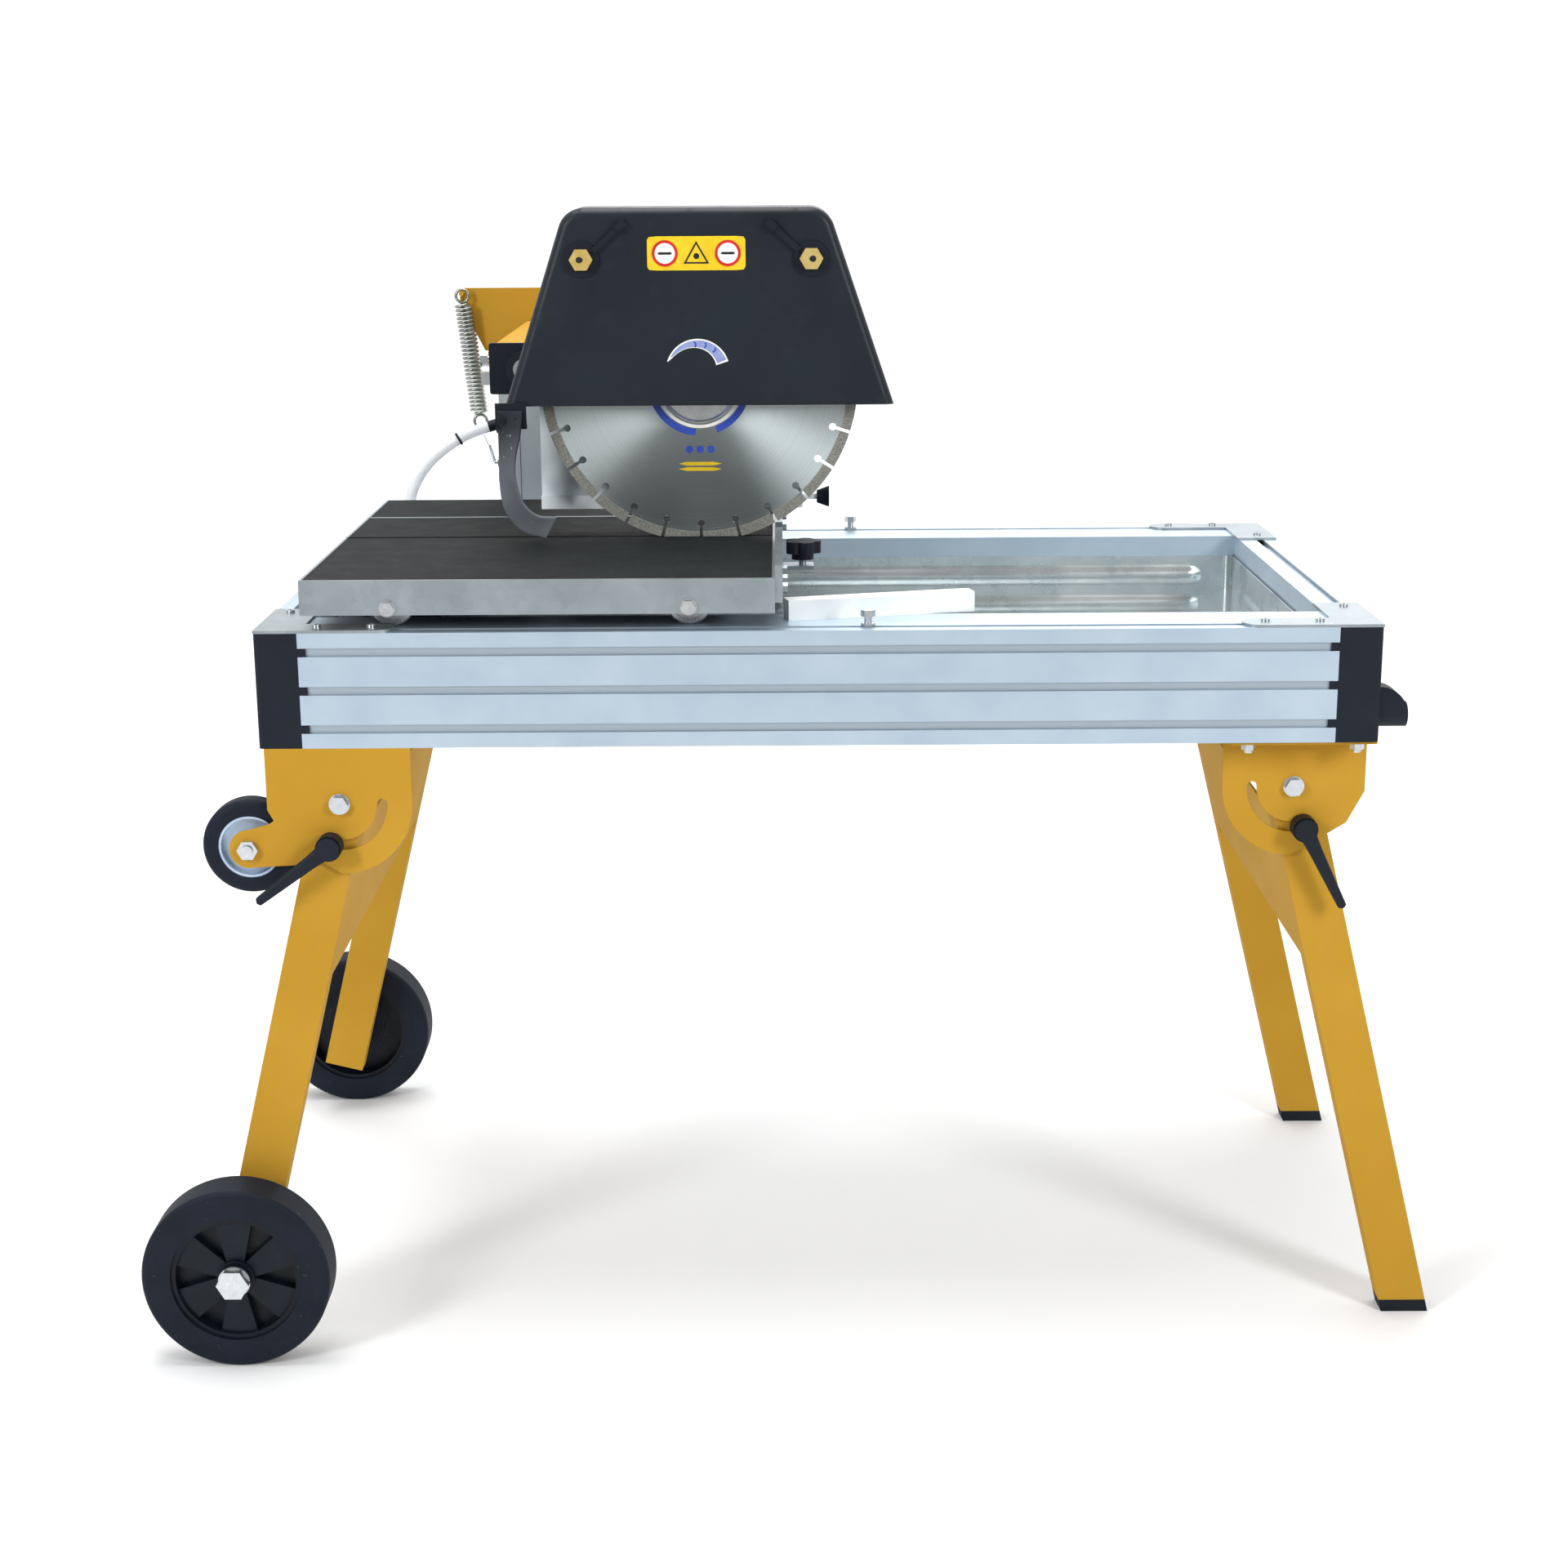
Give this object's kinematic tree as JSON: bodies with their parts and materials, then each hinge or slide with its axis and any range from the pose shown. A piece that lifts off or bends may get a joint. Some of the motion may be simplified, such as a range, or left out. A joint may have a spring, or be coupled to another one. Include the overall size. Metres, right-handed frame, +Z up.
{
  "type": "tile cutter",
  "caption": "Wheeled masonry and tile saw: slotted aluminium frame with water tray, sliding rubber-topped cart, sprung swing head with guarded diamond blade, folding legs.",
  "frame": {"origin": "on the floor, under the middle of the whole saw's box", "axes": "+X along the frame towards the lifting handle (the cart slides that way), +Y from the operator's side to the column, +Z up"},
  "size_m": [1.398, 0.846, 1.198],
  "materials": {
    "aluminium_profile": "natural anodised extrusion, fine draw lines",
    "galvanised": "bright zinc-plated sheet and fasteners",
    "black_plastic": "moulded black nylon, fine texture",
    "yellow_paint": "powder coat, satin",
    "black_paint": "satin black paint",
    "steel": "turned and ground steel",
    "rubber": "matt black rubber",
    "tyre": "black wheel: solid rubber tyre on a moulded hub",
    "board": "ribbed grey-black rubber on board",
    "brass": "machined brass",
    "hose": "milky translucent hose",
    "bronze": "sintered bronze",
    "motor_paint": "grey enamel on ribbed casting",
    "bright_aluminium": "bare bright aluminium",
    "red_plastic": "glossy red",
    "green_plastic": "glossy green",
    "splash_sheet": "plain aluminium sheet"
  },
  "bodies": {
    "frame": {"long_rails": "aluminium_profile", "end_rails": "aluminium_profile", "corner_posts": "black_plastic", "corner_plates": "galvanised", "frame_screws": "galvanised", "roller_tracks": "aluminium_profile", "guide_bar": "bright_aluminium", "lifting_handle": "black_plastic", "brackets": "yellow_paint", "bracket_bolts": "galvanised", "water_tray": "galvanised", "drain_plug": "rubber", "water_pump": "black_plastic", "water_fittings": "black_plastic", "water_hose": "hose", "column": "aluminium_profile", "column_caps": "black_plastic", "beam": "yellow_paint", "beam_bushes": "bronze", "column_bolts": "galvanised", "balance_spring": "steel"},
    "head": {"pivot_shaft": "steel", "lever_plate": "yellow_paint", "swing_arm": "black_paint", "motor_body": "motor_paint", "fan_cover": "black_plastic", "switch_box": "black_plastic", "cord_inlet": "black_plastic", "blade_guard": "black_paint", "guard_fittings": "brass", "guard_clips": "black_plastic", "splash_plate": "splash_sheet", "splash_flap": "rubber"},
    "start_button": {"start_button": "green_plastic"},
    "stop_button": {"stop_button": "red_plastic"},
    "splash_knob": {"splash_knob": "black_plastic"},
    "blade": {"blade": "steel", "blade_spindle": "steel"},
    "cart": {"cart_frame": "galvanised", "cart_boards": "board", "cart_fence": "galvanised", "roller_axles": "galvanised"},
    "cart_knob": {"cart_knob": "black_plastic"},
    "left_legs": {"left_legs": "yellow_paint", "left_leg_bolts": "galvanised"},
    "right_legs": {"right_legs": "yellow_paint", "right_leg_studs": "galvanised", "leg_feet": "rubber"},
    "roller_front_left": {"roller_front_left": "steel"},
    "roller_front_right": {"roller_front_right": "steel"},
    "roller_rear_left": {"roller_rear_left": "steel"},
    "roller_rear_right": {"roller_rear_right": "steel"},
    "wheel_front": {"wheel_front": "tyre"},
    "small_wheel_front": {"small_wheel_front": "tyre"},
    "clamp_lever_left_front": {"clamp_lever_left_front": "black_plastic"},
    "clamp_lever_right_front": {"clamp_lever_right_front": "black_plastic"},
    "wheel_rear": {"wheel_rear": "tyre"},
    "small_wheel_rear": {"small_wheel_rear": "tyre"},
    "clamp_lever_left_rear": {"clamp_lever_left_rear": "black_plastic"},
    "clamp_lever_right_rear": {"clamp_lever_right_rear": "black_plastic"}
  },
  "joints": [
    {"name": "head_swing", "type": "hinge", "parent": "frame", "child": "head", "pos_m": [-0.30285, -0.015, 1.02], "axis": [0, -1, 0], "range_deg": [0, 30], "deforming": ["balance_spring"]},
    {"name": "blade_spin", "type": "hinge", "parent": "head", "child": "blade", "pos_m": [-0.10485, -0.058, 1.007], "axis": [0, 1, 0], "continuous": true},
    {"name": "start_press", "type": "slide", "parent": "head", "child": "start_button", "axis": [-1, 0, 0], "range_m": [0, 0.004], "stiffness_N_per_m": 300},
    {"name": "stop_press", "type": "slide", "parent": "head", "child": "stop_button", "axis": [-1, 0, 0], "range_m": [0, 0.004], "stiffness_N_per_m": 300},
    {"name": "splash_knob_turn", "type": "hinge", "parent": "head", "child": "splash_knob", "pos_m": [0.02515, -0.024, 0.877], "axis": [1, 0, 0], "continuous": true},
    {"name": "cart_slide", "type": "slide", "parent": "frame", "child": "cart", "axis": [1, 0, 0], "range_m": [0, 0.56]},
    {"name": "cart_knob_turn", "type": "hinge", "parent": "cart", "child": "cart_knob", "pos_m": [0.00815, -0.136, 0.824], "axis": [0, 0, 1], "continuous": true},
    {"name": "roller_front_left_spin", "type": "hinge", "parent": "cart", "child": "roller_front_left", "pos_m": [-0.41585, -0.3055, 0.809], "axis": [0, 1, 0], "continuous": true},
    {"name": "roller_front_right_spin", "type": "hinge", "parent": "cart", "child": "roller_front_right", "pos_m": [-0.10985, -0.3055, 0.809], "axis": [0, 1, 0], "continuous": true},
    {"name": "roller_rear_left_spin", "type": "hinge", "parent": "cart", "child": "roller_rear_left", "pos_m": [-0.41585, 0.2615, 0.809], "axis": [0, 1, 0], "continuous": true},
    {"name": "roller_rear_right_spin", "type": "hinge", "parent": "cart", "child": "roller_rear_right", "pos_m": [-0.10985, 0.2615, 0.809], "axis": [0, 1, 0], "continuous": true},
    {"name": "left_legs_fold", "type": "hinge", "parent": "frame", "child": "left_legs", "pos_m": [-0.47285, 0, 0.606], "axis": [0, -1, 0], "range_deg": [0, 104]},
    {"name": "right_legs_fold", "type": "hinge", "parent": "frame", "child": "right_legs", "pos_m": [0.52215, 0, 0.606], "axis": [0, 1, 0], "range_deg": [0, 104]},
    {"name": "wheel_front_spin", "type": "hinge", "parent": "left_legs", "child": "wheel_front", "pos_m": [-0.59901, -0.384, 0.1], "axis": [0, 1, 0], "continuous": true},
    {"name": "small_wheel_front_spin", "type": "hinge", "parent": "frame", "child": "small_wheel_front", "pos_m": [-0.56985, -0.3275, 0.558], "axis": [0, 1, 0], "continuous": true},
    {"name": "clamp_lever_left_front_turn", "type": "hinge", "parent": "left_legs", "child": "clamp_lever_left_front", "pos_m": [-0.48349, -0.362, 0.56331], "axis": [0, -1, 0], "range_deg": [0, 45]},
    {"name": "clamp_lever_right_front_turn", "type": "hinge", "parent": "right_legs", "child": "clamp_lever_right_front", "pos_m": [0.5328, -0.312, 0.56331], "axis": [0, 1, 0], "range_deg": [0, 45]},
    {"name": "wheel_rear_spin", "type": "hinge", "parent": "left_legs", "child": "wheel_rear", "pos_m": [-0.59901, 0.384, 0.1], "axis": [0, 1, 0], "continuous": true},
    {"name": "small_wheel_rear_spin", "type": "hinge", "parent": "frame", "child": "small_wheel_rear", "pos_m": [-0.56985, 0.3275, 0.558], "axis": [0, 1, 0], "continuous": true},
    {"name": "clamp_lever_left_rear_turn", "type": "hinge", "parent": "left_legs", "child": "clamp_lever_left_rear", "pos_m": [-0.48349, 0.362, 0.56331], "axis": [0, -1, 0], "range_deg": [0, 45]},
    {"name": "clamp_lever_right_rear_turn", "type": "hinge", "parent": "right_legs", "child": "clamp_lever_right_rear", "pos_m": [0.5328, 0.312, 0.56331], "axis": [0, 1, 0], "range_deg": [0, 45]}
  ]
}
